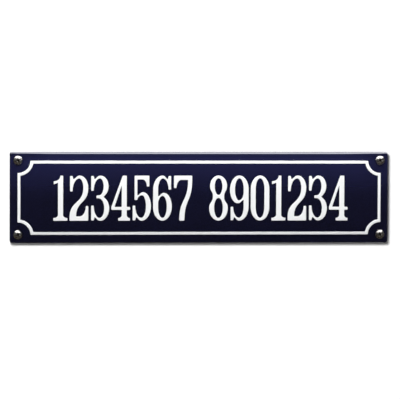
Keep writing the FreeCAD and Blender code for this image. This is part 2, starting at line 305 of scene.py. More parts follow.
def slice_at(bm, axis, places):
    """Cut all of a mesh square to an axis at each place."""
    for place in places:
        whole = bm.verts[:] + bm.edges[:] + bm.faces[:]
        bmesh.ops.bisect_plane(bm, geom=whole, dist=ON_CUT, plane_co=axis * place, plane_no=axis)


def slice_evenly(bm, step):
    """Cut a mesh square to X and to Z at even steps, so that it can follow the cushion."""
    for axis in (X_AXIS, Z_AXIS):
        reach = [vert.co.dot(axis) for vert in bm.verts]
        first = math.ceil(min(reach) / step)
        last = math.floor(max(reach) / step)
        slice_at(bm, axis, [step * count for count in range(first, last + 1)])


def face_outwards(bm):
    """Turn the faces of a closed mesh outwards, and those of an open one all to one side."""
    bmesh.ops.recalc_face_normals(bm, faces=bm.faces)


def verts_of(geom):
    """The vertices in an operator's result."""
    return [item for item in geom if isinstance(item, bmesh.types.BMVert)]


def round_off(bm, geom, radius, segments, affect="EDGES", clamp=False):
    """Round edges or corners to a radius."""
    bmesh.ops.bevel(
        bm, geom=geom, offset=radius, segments=segments, profile=0.5, affect=affect,
        clamp_overlap=clamp, material=-1,
    )


def round_corners(bm, radius, sharpest):
    """Round those corners of a wire outline that turn by more than an angle in degrees."""
    corners = []
    for vert in bm.verts:
        if len(vert.link_edges) == 2:
            arms = [edge.other_vert(vert).co - vert.co for edge in vert.link_edges]
            if math.pi - arms[0].angle(arms[1]) > math.radians(sharpest):
                corners.append(vert)
    for corner in corners:
        room = min(edge.calc_length() for edge in corner.link_edges) * CORNER_SHARE
        round_off(bm, [corner], min(radius, room), segments=4, affect="VERTICES")


def fire_white(bm, scene):
    """Make a flat sheet of white in the plane Y = 0 into raised enamel that follows the cushion."""
    plate = scene.sign_plate_sizes
    enamel = scene.sign_enamel_sizes
    face_outwards(bm)
    if sum(face.normal.y * face.calc_area() for face in bm.faces) > 0:
        bmesh.ops.reverse_faces(bm, faces=bm.faces)
    grown = bmesh.ops.extrude_face_region(bm, geom=bm.faces[:], use_keep_orig=True)["geom"]
    top = {item for item in grown if isinstance(item, bmesh.types.BMFace)}
    thickness = enamel.relief + enamel.bedding
    bmesh.ops.translate(bm, verts=bm.verts, vec=Y_AXIS * enamel.bedding)
    bmesh.ops.translate(bm, verts=verts_of(grown), vec=-Y_AXIS * thickness)
    face_outwards(bm)
    rim = [edge for edge in bm.edges if len(set(edge.link_faces) & top) == 1]
    round_off(bm, rim, enamel.soft_edge, segments=2, clamp=True)
    slice_evenly(bm, enamel.slice_step)
    for vert in bm.verts:
        vert.co.y -= plate.rim_depth + face_rise(plate, vert.co.x, vert.co.z)


def as_mesh(name, bm):
    """Turn a bmesh into a mesh, and free it."""
    mesh = bpy.data.meshes.new(name)
    bm.to_mesh(mesh)
    bm.free()
    return mesh


def add_object(name, data):
    """A new object of the scene."""
    added = bpy.data.objects.new(name, data)
    bpy.context.scene.collection.objects.link(added)
    return added


def finish_mesh(name, bm, materials, sharpest=40):
    """An object of the scene from a bmesh, smooth up to an angle in degrees."""
    mesh = as_mesh(name, bm)
    mesh.shade_smooth()
    mesh.set_sharp_from_angle(angle=math.radians(sharpest))
    for material in materials:
        mesh.materials.append(material)
    return add_object(name, mesh)


# Node helpers


def empty_nodes(owner):
    """The node tree of a material or a world, emptied."""
    owner.use_nodes = True
    owner.node_tree.nodes.clear()
    return owner.node_tree


def add_node(tree, kind, values=None, **settings):
    """A node with its settings, and numbers or sockets for its inputs by name or by place."""
    node = tree.nodes.new(kind)
    for label, setting in settings.items():
        setattr(node, label, setting)
    for label, given in (values or {}).items():
        if isinstance(given, bpy.types.NodeSocket):
            tree.links.new(given, node.inputs[label])
        else:
            node.inputs[label].default_value = given
    return node


def calculate(tree, operation, first, second):
    """The result of a Math node on two numbers or sockets."""
    return add_node(tree, "ShaderNodeMath", {0: first, 1: second}, operation=operation).outputs[0]


def spread(tree, given, low, high, to_low, to_high, form="LINEAR"):
    """A number carried from one range to another, kept inside it."""
    values = {"Value": given, "From Min": low, "From Max": high, "To Min": to_low, "To Max": to_high}
    return add_node(tree, "ShaderNodeMapRange", values, interpolation_type=form).outputs["Result"]


def tint(tree, base, factor):
    """A colour scaled by a socket's value."""
    values = {0: tuple(base), "Scale": factor}
    return add_node(tree, "ShaderNodeVectorMath", values, operation="SCALE").outputs[0]


def noise(tree, vector, scale, detail):
    """The value of a noise texture."""
    values = {"Vector": vector, "Scale": scale, "Detail": detail}
    return add_node(tree, "ShaderNodeTexNoise", values).outputs["Fac"]


def bump(tree, height, strength, distance):
    """The normal of a fine relief."""
    values = {"Height": height, "Strength": strength, "Distance": distance}
    return add_node(tree, "ShaderNodeBump", values).outputs["Normal"]


def mix(tree, factor, first, second):
    """A mix of two shaders."""
    values = {"Fac": factor, 1: first, 2: second}
    return add_node(tree, "ShaderNodeMixShader", values).outputs["Shader"]


def object_place(tree):
    """Object coordinates, which are those of the frame."""
    return add_node(tree, "ShaderNodeTexCoord").outputs["Object"]


# Finishes: fired enamel and zinc

# Heights on the face between which painted shade darkens the enamel towards the foot
FOOT_SHADE_HEIGHTS = (PLATE_LOW.z * 0.1, PLATE_HIGH.z * 0.66)

# Heights on the face between which painted shade darkens it towards the upper edge
TOP_SHADE_HEIGHTS = (PLATE_HIGH.z - 8 * MM, PLATE_HIGH.z - 2 * MM)

# The enamel's roughness drifts between these shares of its own value
GLOSSIEST = 0.8
DULLEST = 1.5

# What the slow drift weighs beside the fine ripple, and the zinc's clouds beside its scratches
DRIFT_WEIGHT = 1.6
CLOUD_WEIGHT = 0.6


def fired_enamel_group():
    """Fired enamel: drifts of tone, painted shade towards the foot and along the top edge, orange peel
    and tiny specks.
    """
    found = bpy.data.node_groups.get("fired enamel")
    if found:
        return found
    group = bpy.data.node_groups.new("fired enamel", "ShaderNodeTree")
    group.interface.new_socket("Vector", in_out="INPUT", socket_type="NodeSocketVector")
    for label in ("Drift", "Specks", "Foot shade", "Top shade"):
        group.interface.new_socket(label, in_out="INPUT", socket_type="NodeSocketFloat")
    for label in ("Tone", "Height", "Dulling"):
        group.interface.new_socket(label, in_out="OUTPUT", socket_type="NodeSocketFloat")
    given = add_node(group, "NodeGroupInput").outputs
    place = given["Vector"]
    slow = noise(group, place, scale=24.0, detail=3.0)
    fine = noise(group, place, scale=210.0, detail=2.0)
    dust = noise(group, place, scale=1500.0, detail=1.0)
    height = add_node(group, "ShaderNodeSeparateXYZ", {"Vector": place}).outputs["Z"]

    def weighed(effect, label):
        return calculate(group, "MULTIPLY", effect, given[label])

    drift = weighed(calculate(group, "SUBTRACT", slow, 0.5), "Drift")
    specks = weighed(spread(group, dust, low=0.74, high=0.80, to_low=0.0, to_high=1.0), "Specks")
    # Painted shade: the tone darkens towards the foot, standing in for overhead light that falls off
    # down the face.
    shade_to_foot = spread(group, height, *FOOT_SHADE_HEIGHTS, to_low=1.0, to_high=0.0, form="SMOOTHSTEP")
    shade_to_foot = weighed(shade_to_foot, "Foot shade")
    # Painted shade: the tone darkens towards the upper edge, where the overhead lamp lights the
    # sloping shoulder.
    shade_at_top = weighed(spread(group, height, *TOP_SHADE_HEIGHTS, to_low=0.0, to_high=1.0), "Top shade")
    tone = calculate(group, "ADD", 1.0, drift)
    tone = calculate(group, "SUBTRACT", tone, specks)
    tone = calculate(group, "SUBTRACT", tone, shade_to_foot)
    tone = calculate(group, "SUBTRACT", tone, calculate(group, "MULTIPLY", tone, shade_at_top))
    peel = calculate(group, "ADD", calculate(group, "MULTIPLY", slow, DRIFT_WEIGHT), fine)
    dulling = calculate(group, "ADD", specks, fine)
    add_node(group, "NodeGroupOutput", {"Tone": tone, "Height": peel, "Dulling": dulling})
    return group


def new_material(name):
    """An empty material, and its node tree."""
    material = bpy.data.materials.new(name)
    return material, empty_nodes(material)


def cover(tree, values):
    """Put a Principled shader with its values on a material's surface."""
    shader = add_node(tree, "ShaderNodeBsdfPrincipled", values)
    add_node(tree, "ShaderNodeOutputMaterial", {"Surface": shader.outputs["BSDF"]})


def enamel_material(name, base, drift, specks, roughness, peel, foot_shade=0.0, top_shade=0.0):
    """Gloss vitreous enamel of one colour, with painted shade towards the foot and along the top edge
    where asked.
    """
    material, tree = new_material(name)
    values = {
        "Vector": object_place(tree), "Drift": drift, "Specks": specks, "Foot shade": foot_shade,
        "Top shade": top_shade,
    }
    fired = add_node(tree, "ShaderNodeGroup", values, node_tree=fired_enamel_group()).outputs
    gloss = spread(
        tree, fired["Dulling"], low=0.3, high=1.2, to_low=roughness * GLOSSIEST,
        to_high=roughness * DULLEST,
    )
    cover(tree, {
        "Base Color": tint(tree, base, fired["Tone"]),
        "Roughness": gloss,
        "Normal": bump(tree, fired["Height"], strength=peel, distance=0.05 * MM),
        "IOR": 1.46,
    })
    return material


def white_enamel(scene):
    """The white of the line and the numerals, made once."""
    return bpy.data.materials.get("white_gloss") or enamel_material(
        "white_gloss", scene.sign_colours.white, drift=0.03, specks=0.06, roughness=0.14, peel=0.12
    )


def zinc_material(name, base, glossiest, dullest):
    """Zinc-plated steel: metal whose brightness and gloss drift, with fine scratches."""
    material, tree = new_material(name)
    place = object_place(tree)
    drawn = add_node(tree, "ShaderNodeMapping", {"Vector": place, "Scale": (1.0, 1.0, 6.0)})
    cloudy = noise(tree, place, scale=900.0, detail=3.0)
    scratched = noise(tree, drawn.outputs["Vector"], scale=1400.0, detail=2.0)
    tone = spread(tree, cloudy, low=0.35, high=0.65, to_low=0.82, to_high=1.06)
    worn = calculate(tree, "ADD", calculate(tree, "MULTIPLY", cloudy, CLOUD_WEIGHT), scratched)
    cover(tree, {
        "Base Color": tint(tree, base, tone),
        "Roughness": spread(tree, worn, low=0.5, high=1.1, to_low=glossiest, to_high=dullest),
        "Normal": bump(tree, scratched, strength=0.05, distance=0.01 * MM),
        "Metallic": 1.0,
    })
    return material


# The plate

# The square round a screw: how far it reaches past the seat, and its cuts to a side
SEAT_MARGIN = 0.3 * MM
SEAT_CUTS = 10


def cut_lines(screw, seat, step):
    """Where the plate is cut along one axis: finely beside the screws, evenly between them."""
    half = seat + SEAT_MARGIN
    beside = [screw - half + half * 2 * part / SEAT_CUTS for part in range(SEAT_CUTS + 1)]
    spans = max(1, round(2 * beside[0] / step))
    between = [beside[0] * (2 * part / spans - 1) for part in range(1, spans)]
    return [-place for place in reversed(beside)] + between + beside


def plate_blank(plate):
    """The plate's outside with a flat face: face, rounded shoulder and skirt, open at the wall."""
    bm = bmesh.new()
    bmesh.ops.create_grid(bm, x_segments=1, y_segments=1, size=1)
    flat = Matrix.Diagonal((PLATE_HIGH.x, PLATE_HIGH.z, 1, 1))
    bmesh.ops.transform(bm, matrix=STAND_UP @ flat, verts=bm.verts)
    skirt = bmesh.ops.extrude_edge_only(bm, edges=bm.edges[:])["geom"]
    bmesh.ops.translate(bm, verts=bm.verts, vec=-Y_AXIS * plate.rim_depth)
    bmesh.ops.translate(bm, verts=verts_of(skirt), vec=Y_AXIS * plate.rim_depth)
    uprights = [edge for edge in bm.edges if abs(edge.verts[0].co.y - edge.verts[1].co.y) > TOUCH]
    round_off(bm, uprights, plate.corner, segments=7)
    ridge = [edge for edge in bm.edges if max(vert.co.y for vert in edge.verts) < -TOUCH]
    round_off(bm, ridge, plate.shoulder, segments=7)
    face_outwards(bm)
    return bm


def open_seat(bm, plate, screw):
    """Replace a small square of the face by rings down to a screw's hole."""
    half = plate.seat_radius + SEAT_MARGIN + TOUCH

    def is_near(point):
        return abs(point.x - screw.x) < half and abs(point.z - screw.z) < half

    middle = [face for face in bm.faces if is_near(face.calc_center_median())]
    bmesh.ops.delete(bm, geom=middle, context="FACES")
    square = [
        edge for edge in bm.edges
        if edge.is_boundary and all(is_near(vert.co) for vert in edge.verts)
    ]
    turn = Matrix.Translation(screw - Y_AXIS * plate.rim_depth) @ STAND_UP
    made = bmesh.ops.create_circle(bm, segments=len(square), radius=plate.seat_radius, matrix=turn)
    ring = list({edge for vert in made["verts"] for edge in vert.link_edges})
    bmesh.ops.bridge_loops(bm, edges=square + ring)
    for radius in (plate.seat_radius - plate.seat_wall, plate.hole_radius):
        grown = bmesh.ops.extrude_edge_only(bm, edges=ring)["geom"]
        verts = verts_of(grown)
        ring = [
            item for item in grown
            if isinstance(item, bmesh.types.BMEdge) and all(vert in verts for vert in item.verts)
        ]
        for vert in verts:
            offset = vert.co - screw
            offset.y = 0
            wanted = screw + offset.normalized() * radius
            vert.co.xz = wanted.xz


def press_seats(bm, plate):
    """Press the sheet level where the screw heads sit."""
    level = seat_level(plate)
    for screw in screw_places():
        for vert in bm.verts:
            near = math.hypot(vert.co.x - screw.x, vert.co.z - screw.z)
            in_seat = near < plate.seat_radius - plate.seat_wall / 2
            if in_seat and vert.co.y < level + plate.sheet / 2:
                vert.co.y = level


def make_plate(context):
    """The finished plate."""
    plate = context.scene.sign_plate_sizes
    colours = context.scene.sign_colours
    bm = plate_blank(plate)
    screws = screw_places()
    slice_at(bm, X_AXIS, cut_lines(screws[0].x, plate.seat_radius, step=1.8 * MM))
    slice_at(bm, Z_AXIS, cut_lines(screws[0].z, plate.seat_radius, step=1.5 * MM))
    for screw in screws:
        open_seat(bm, plate, screw)
    face_outwards(bm)
    for vert in bm.verts:
        if vert.co.y < -plate.rim_depth / 2:
            vert.co.y -= face_rise(plate, vert.co.x, vert.co.z)
    outside = set(bm.faces)
    bmesh.ops.solidify(bm, geom=bm.faces[:], thickness=plate.sheet)
    for face in bm.faces:
        face.material_index = 0 if face in outside else 1
    press_seats(bm, plate)
    # The blue enamel carries painted shade, darker towards the foot and along the top edge.
    piece = finish_mesh("enamel_plate", bm, [
        enamel_material(
            "cobalt_gloss", colours.blue, drift=0.22, specks=0.15, roughness=0.07, peel=0.18,
            foot_shade=0.56, top_shade=0.45,
        ),
        enamel_material(
            "ground_coat", colours.ground, drift=0.3, specks=0.4, roughness=0.24, peel=0.18
        ),
    ])
    rounding = piece.modifiers.new("rounded cut edges", "BEVEL")
    rounding.width = plate.edge_round
    rounding.segments = 2
    rounding.limit_method = "ANGLE"
    rounding.angle_limit = math.radians(65)
    return piece


# The white line


def scalloped_loop(bm, reach_x, reach_z, radius):
    """A closed wire with straight sides and a hollow arc about each screw."""
    ends = []
    for screw, (right, up) in zip(screw_places(), CORNERS.values()):
        rise_x = math.sqrt(radius**2 - (reach_z - abs(screw.z)) ** 2)
        rise_z = math.sqrt(radius**2 - (reach_x - abs(screw.x)) ** 2)
        on_long = Vector((screw.x - right * rise_x, 0, up * reach_z))
        on_upright = Vector((right * reach_x, 0, screw.z - up * rise_z))
        first, last = (on_long, on_upright) if right == up else (on_upright, on_long)
        sweep = (first - screw).angle(last - screw)
        start = bm.verts.new(first)
        spun = bmesh.ops.spin(bm, geom=[start], cent=screw, axis=Y_AXIS, angle=-sweep, steps=20)
        end = verts_of(spun["geom_last"])[0]
        if (end.co - last).length > TOUCH:
            raise RuntimeError("an arc of the white line turned the wrong way")
        ends.append((start, end))
    for corner, (start, end) in enumerate(ends):
        following = ends[(corner + 1) % len(ends)][0]
        bm.edges.new((end, following))


def make_border(context):
    """The raised white line."""
    scene = context.scene
    line = scene.sign_line_sizes
    reach_x = PLATE_HIGH.x - line.inset_side
    reach_z = PLATE_HIGH.z - line.inset_edge
    bm = bmesh.new()
    scalloped_loop(bm, reach_x, reach_z, line.scallop_radius)
    scalloped_loop(
        bm, reach_x - line.width_upright, reach_z - line.width_long,
        line.scallop_radius + line.scallop_width,
    )
    round_corners(bm, line.nick, sharpest=30)
    bmesh.ops.bridge_loops(bm, edges=bm.edges[:])
    fire_white(bm, scene)
    return finish_mesh("white_line", bm, [white_enamel(scene)], sharpest=60)


# The numerals

# Their outlines are drawn this high, in units of about a millimetre
DIGIT_HEIGHT = 40.0

# Points of an outline closer than this are merged
OUTLINE_MERGE = 0.01

# The handle of a quarter circle, as a share of its radius
QUARTER = 0.5523

# A handle's shares of the way to the next point, along the sign and up it
ALONG = Vector((QUARTER, 0, 0))
UP = Vector((0, QUARTER, 0))
SLANT = Vector((0.45, 0.2, 0))

# The handles at both ends of a curved way to the next point
LEVEL = (ALONG, UP)
UPRIGHT = (UP, ALONG)
WAVE = (UP, UP)
LEVEL_SLANT = (ALONG, SLANT)
SLANT_LEVEL = (SLANT, ALONG)
UPRIGHT_SLANT = (UP, SLANT)
SLANT_UPRIGHT = (SLANT, UP)


def half_turned(digit):
    """A digit turned by half a turn, such as a six into a nine."""
    width, *outlines = digit
    return width, *(
        tuple((width - x, DIGIT_HEIGHT - z, *way) for x, z, *way in outline) for outline in outlines
    )


# Each digit's width and its outlines; the way from a point to the next is straight unless it is named
DIGITS = {
    "0": (
        16.2,
        ((0, 12), (0, 28, UPRIGHT), (8.1, 40, LEVEL), (16.2, 28), (16.2, 12, UPRIGHT),
         (8.1, 0, LEVEL)),
        ((4.3, 12), (4.3, 28, UPRIGHT), (8.1, 37.6, LEVEL), (11.9, 28), (11.9, 12, UPRIGHT),
         (8.1, 2.4, LEVEL)),
    ),
    "1": (
        12.2,
        ((0, 0), (12.2, 0), (12.2, 2.4, LEVEL), (8.5, 5.2), (8.5, 40), (6.2, 40, UPRIGHT),
         (0.4, 35), (0.4, 32.2), (4.1, 33.8), (4.1, 5.2, UPRIGHT), (0, 2.4)),
    ),
    "2": (
        16.2,
        ((0, 0), (16.2, 0), (16.2, 13), (14, 13, UPRIGHT), (8.8, 3.8), (5.6, 3.8, WAVE),
         (16.2, 29, UPRIGHT), (8.9, 40, LEVEL_SLANT), (3.2, 36.9), (2.6, 39.7), (0.4, 39.7),
         (0.4, 26), (2.6, 26, UPRIGHT), (8.3, 37.5, LEVEL), (11.9, 29, WAVE), (0, 3.4)),
    ),
    "3": (
        16.2,
        ((3.4, 36.9, SLANT_LEVEL), (8.7, 40, LEVEL), (15.6, 30.6, UPRIGHT_SLANT),
         (11.2, 21.2, SLANT_UPRIGHT), (16.2, 11, UPRIGHT), (8.4, 0, LEVEL_SLANT), (3.4, 3.1),
         (2.8, 0.3), (0.6, 0.3), (0.6, 13.4), (2.8, 13.4, UPRIGHT), (8, 2.5, LEVEL),
         (11.9, 11, UPRIGHT), (7.2, 19.9), (5.2, 19.9), (5.2, 22.4), (7.2, 22.4, LEVEL),
         (11.4, 30.6, UPRIGHT), (8.1, 37.5, LEVEL), (2.8, 26.6), (0.6, 26.6), (0.6, 39.7),
         (2.8, 39.7)),
    ),
    "4": (
        16.2,
        ((5.9, 0), (16.2, 0), (16.2, 2.3, LEVEL), (13.3, 5), (13.3, 9.6), (16.2, 9.6),
         (16.2, 12.2), (13.3, 12.2), (13.3, 40), (9.8, 40), (0, 12.2), (0, 9.6), (9, 9.6),
         (9, 5, UPRIGHT), (5.9, 2.3)),
        ((9, 12.2), (9, 31.5), (2.7, 12.2)),
    ),
    "5": (
        16.2,
        ((2, 40), (14.8, 40), (14.8, 30.4), (12.6, 30.4, UPRIGHT), (9, 36.6), (4.4, 36.6),
         (4.4, 22.4, SLANT_LEVEL), (9.4, 25.2, LEVEL), (16.2, 12.8, UPRIGHT),
         (8.2, 0, LEVEL_SLANT), (3.2, 3.1), (2.6, 0.3), (0.4, 0.3), (0.4, 13.4),
         (2.6, 13.4, UPRIGHT), (7.8, 2.5, LEVEL), (11.9, 12.8, UPRIGHT), (8.4, 22.6, LEVEL),
         (4.4, 18.4), (2, 18.4)),
    ),
    "6": (
        16.2,
        ((0, 12), (0, 27.5, UPRIGHT), (8.2, 40, LEVEL_SLANT), (12.8, 36.9), (13.4, 39.7),
         (15.6, 39.7), (15.6, 27.6), (13.4, 27.6, UPRIGHT), (8.4, 37.5, LEVEL), (4.3, 27.5),
         (4.3, 21.6, SLANT_LEVEL), (9.4, 24.6, LEVEL), (16.2, 12.6, UPRIGHT), (8.1, 0, LEVEL)),
        ((4.3, 12), (4.3, 14.6, UPRIGHT), (8.3, 22, LEVEL), (11.9, 12.6, UPRIGHT),
         (8.1, 2.4, LEVEL)),
    ),
    "7": (
        15.8,
        ((4.6, 0), (9.1, 0, WAVE), (15.8, 36.2), (15.8, 40), (0, 40), (0, 29), (2.2, 29, UPRIGHT),
         (6.4, 36.2), (12.3, 36.2, WAVE)),
    ),
    "8": (
        16.2,
        ((8.1, 40, LEVEL), (15.5, 30.8, WAVE), (13, 21.4, WAVE), (16.2, 11, UPRIGHT),
         (8.1, 0, LEVEL), (0, 11, WAVE), (3.2, 21.4, WAVE), (0.7, 30.8, UPRIGHT)),
        ((8.1, 37.6, LEVEL), (11.4, 30.6, UPRIGHT), (8.1, 22.8, LEVEL), (4.8, 30.6, UPRIGHT)),
        ((8.1, 20.2, LEVEL), (11.9, 11.2, UPRIGHT), (8.1, 2.4, LEVEL), (4.3, 11.2, UPRIGHT)),
    ),
}
DIGITS["9"] = half_turned(DIGITS["6"])


def make_glyph(outlines, nick):
    """A digit as a flat sheet in the plane Y = 0, as it is drawn, with its corners rounded."""
    curve = bpy.data.curves.new("digit", "CURVE")
    curve.dimensions = "2D"
    curve.fill_mode = "NONE"
    curve.resolution_u = 10
    for outline in outlines:
        spline = curve.splines.new("BEZIER")
        spline.bezier_points.add(len(outline) - 1)
        spline.use_cyclic_u = True
        for point, (x, z, *_) in zip(spline.bezier_points, outline):
            point.handle_left_type = "FREE"
            point.handle_right_type = "FREE"
            point.co = (x, z, 0)
        for index, (_, _, *way) in enumerate(outline):
            point = spline.bezier_points[index]
            following = spline.bezier_points[(index + 1) % len(outline)]
            if not way:
                point.handle_right_type = "VECTOR"
                following.handle_left_type = "VECTOR"
                continue
            run = following.co - point.co
            leaving, arriving = way[0]
            point.handle_right = point.co + run * leaving
            following.handle_left = following.co - run * arriving
    holder = bpy.data.objects.new("digit", curve)
    mesh = bpy.data.meshes.new_from_object(holder)
    bm = bmesh.new()
    bm.from_mesh(mesh)
    bpy.data.objects.remove(holder)
    bpy.data.curves.remove(curve)
    bpy.data.meshes.remove(mesh)
    bmesh.ops.transform(bm, matrix=STAND_UP, verts=bm.verts)
    bmesh.ops.remove_doubles(bm, verts=bm.verts, dist=OUTLINE_MERGE)
    round_corners(bm, nick, sharpest=35)
    bmesh.ops.triangle_fill(bm, use_beauty=True, edges=bm.edges[:], normal=-Y_AXIS)
    return bm


def make_numerals(context):
    """The raised row of digits."""
    scene = context.scene
    sizes = scene.sign_numeral_sizes
    signs = sizes.wording.replace(" ", "")
    spaces = len(sizes.wording) - len(signs)
    gaps = len(signs) - 1 - spaces
    room = sizes.left + sizes.right - spaces * sizes.space - gaps * sizes.gap
    broad = room / sum(DIGITS[sign][0] for sign in signs)
    stretch = Matrix.Diagonal((broad, 1, sizes.height / DIGIT_HEIGHT, 1))
    joined = bmesh.new()
    pen = -sizes.left
    for sign in sizes.wording:
        if sign == " ":
            pen += sizes.space - sizes.gap
            continue
        width, *outlines = DIGITS[sign]
        bm = make_glyph(outlines, sizes.nick / MM)
        bmesh.ops.transform(bm, matrix=stretch, verts=bm.verts)
        bmesh.ops.translate(bm, verts=bm.verts, vec=Vector((pen, 0, -sizes.foot)))
        fire_white(bm, scene)
        mesh = as_mesh("digit", bm)
        joined.from_mesh(mesh)
        bpy.data.meshes.remove(mesh)
        pen += width * broad + sizes.gap
    return finish_mesh("numerals", joined, [white_enamel(scene)], sharpest=60)


# The screws

# Rings on a head: close together over the recess and its margin, wider apart outside them
RECESS_RINGS = 30
OUTER_RINGS = 6
RECESS_MARGIN = 0.2 * MM

# One tooth of the thread: shares of the pitch, with 1 on the crest and 0 at the root
TOOTH = ((0.0, 0), (0.36, 0), (0.60, 1), (0.68, 1), (0.92, 0))

# Steps in one turn of the thread, and how far it reaches into the neck
THREAD_STEPS = 28
THREAD_OVERLAP = 0.2 * MM

# Vertices closer than this are merged, on the head and on the thread
HEAD_MERGE = 0.001 * MM
THREAD_MERGE = 0.005 * MM


def dome_height(sizes, radius):
    """Height of the domed head above its underside, at a distance from the axis."""
    sphere = (sizes.head_radius**2 + sizes.head_height**2) / (2 * sizes.head_height)
    return sizes.head_height - sphere + math.sqrt(sphere**2 - radius**2)


def recess_at(sizes, place):
    """How deep the cross recess goes into the dome at a place on it."""
    cosine, sine = math.cos(sizes.turned), math.sin(sizes.turned)
    along = abs(place.x * cosine + place.z * sine)
    beside = abs(place.z * cosine - place.x * sine)
    to_tip = sizes.recess_span / 2 - max(along, beside)
    to_side = sizes.recess_wing / 2 - min(along, beside)
    to_hub = sizes.recess_hub - math.hypot(along, beside)
    inside = max(min(to_tip, to_side), to_hub, 0)
    worn = sizes.recess_worn
    eased = inside**2 / (2 * worn) if inside < worn else inside - worn / 2
    return min(eased * math.tan(sizes.recess_lean), sizes.recess_depth)


def spin_profile(bm, profile, steps, climb=ORIGIN, close=True):
    """Spin a line of points once round the Y axis, moving it by the climb at each step."""
    verts = [bm.verts.new(point) for point in profile]
    edges = [bm.edges.new(pair) for pair in zip(verts, verts[1:])]
    bmesh.ops.spin(
        bm, geom=verts + edges, cent=ORIGIN, axis=Y_AXIS, angle=math.tau, steps=steps, dvec=climb,
        use_merge=close,
    )


def head_and_neck(sizes):
    """Domed head with its recess and plain neck on the Y axis, its underside at zero."""
    reach = sizes.recess_span / 2 + RECESS_MARGIN
    outside = sizes.head_radius - reach
    rings = [reach * part / RECESS_RINGS for part in range(RECESS_RINGS)]
    rings += [reach + outside * part / OUTER_RINGS for part in range(OUTER_RINGS)]
    profile = [Vector((radius, -dome_height(sizes, radius), 0)) for radius in rings] + [
        Vector((sizes.head_radius, -sizes.head_lip, 0)),
        Vector((sizes.head_radius, 0, 0)),
        Vector((sizes.neck_radius, 0, 0)),
        Vector((sizes.neck_radius, sizes.neck_length, 0)),
        Vector((0, sizes.neck_length, 0)),
    ]
    bm = bmesh.new()
    spin_profile(bm, profile, steps=96)
    bmesh.ops.remove_doubles(bm, verts=bm.verts, dist=HEAD_MERGE)
    face_outwards(bm)
    for vert in bm.verts:
        if vert.co.y < -sizes.head_lip:
            vert.co.y += recess_at(sizes, vert.co)
    # Faces deep in the recess take the second material, painted shade for the recess.
    for face in bm.faces:
        middle = face.calc_center_median()
        face.material_index = int(middle.y < 0 and recess_at(sizes, middle) > sizes.recess_worn / 2)
    return bm


def thread_of(sizes):
    """The thread on the Y axis: one turn of a saw-toothed profile that climbs by its pitch."""
    start = sizes.neck_length - sizes.pitch
    turns = math.ceil((sizes.shank - start) / sizes.pitch) + 1
    depth = sizes.thread_radius - sizes.root_radius
    profile = [
        Vector((sizes.root_radius + depth * high, start + sizes.pitch * (turn + part), 0))
        for turn in range(turns) for part, high in TOOTH
    ]
    bm = bmesh.new()
    climb = Y_AXIS * sizes.pitch / THREAD_STEPS
    spin_profile(bm, profile, steps=THREAD_STEPS, climb=climb, close=False)
    bmesh.ops.remove_doubles(bm, verts=bm.verts, dist=THREAD_MERGE)
    for vert in bm.verts:
        radius = math.hypot(vert.co.x, vert.co.z)
        run_in = min(max((vert.co.y - sizes.neck_length) / sizes.pitch, 0), 1)
        to_point = min(max((sizes.shank - vert.co.y) / sizes.point, 0), 1)
        wanted = (sizes.root_radius + (radius - sizes.root_radius) * run_in) * to_point
        vert.co.x *= wanted / radius
        vert.co.z *= wanted / radius
        vert.co.y = min(max(vert.co.y, sizes.neck_length - THREAD_OVERLAP), sizes.shank)
    bmesh.ops.remove_doubles(bm, verts=bm.verts, dist=THREAD_MERGE)
    open_edges = [edge for edge in bm.edges if edge.is_boundary]
    bmesh.ops.holes_fill(bm, edges=open_edges, sides=0)
    face_outwards(bm)
    return bm


def make_screws(context):
    """The four screws, each with its place in its mesh."""
    scene = context.scene
    sizes = scene.sign_screw_sizes
    colours = scene.sign_colours
    materials = [
        zinc_material("zinc_steel", colours.steel, glossiest=0.20, dullest=0.32),
        # The second finish is painted shade in the recesses.
        zinc_material("shaded_recess", colours.recess_shade, glossiest=0.30, dullest=0.50),
    ]
    parts = [as_mesh("head", head_and_neck(sizes)), as_mesh("thread", thread_of(sizes))]
    level = seat_level(scene.sign_plate_sizes)
    screws = []
    for name, place in zip(CORNERS, screw_places()):
        bm = bmesh.new()
        for mesh in parts:
            bm.from_mesh(mesh)
        bmesh.ops.translate(bm, verts=bm.verts, vec=place + Y_AXIS * level)
        screws.append(finish_mesh("screw_" + name, bm, materials, sharpest=35))
    for mesh in parts:
        bpy.data.meshes.remove(mesh)
    return screws


# The stage: wall, floor, lamps, world and camera

# The backdrop, and the gap that keeps the wall off the sign
BACKDROP_WIDTH = 1.6
FLOOR_DEPTH = 0.6
WALL_GAP = 0.3 * MM

# Heights of a direction where the world passes from the ground to the horizon, and on to the sky
HORIZON_BAND = (-0.3, 0.15)
SKY_BAND = (0.6, 0.95)


def aimed(place):
    """A turn that looks from a place at the sign's middle."""
    return (-place).to_track_quat("-Z", "Y").to_euler()


def round_the_sign(azimuth, elevation, distance):
    """A place in front of the sign, to its left by the azimuth and above by the elevation."""
    return Vector((
        -math.sin(azimuth) * math.cos(elevation),
        -math.cos(azimuth) * math.cos(elevation),
        math.sin(elevation),
    )) * distance


def stage_plane(name, size, matrix, material):
    """A flat rectangle that belongs to the stage."""
    bm = bmesh.new()
    bmesh.ops.create_grid(bm, x_segments=1, y_segments=1, size=0.5)
    bmesh.ops.transform(bm, matrix=matrix @ Matrix.Diagonal((*size, 1, 1)), verts=bm.verts)
    plane = finish_mesh(name, bm, [material])
    return plane


def backdrop_material(name, white):
    """A pale matt surface that is see-through from behind."""
    material, tree = new_material(name)
    behind = add_node(tree, "ShaderNodeNewGeometry").outputs["Backfacing"]
    matt = add_node(tree, "ShaderNodeBsdfDiffuse", {"Color": (white, white, white, 1)})
    clear = add_node(tree, "ShaderNodeBsdfTransparent")
    surface = mix(tree, behind, matt.outputs["BSDF"], clear.outputs["BSDF"])
    add_node(tree, "ShaderNodeOutputMaterial", {"Surface": surface})
    return material


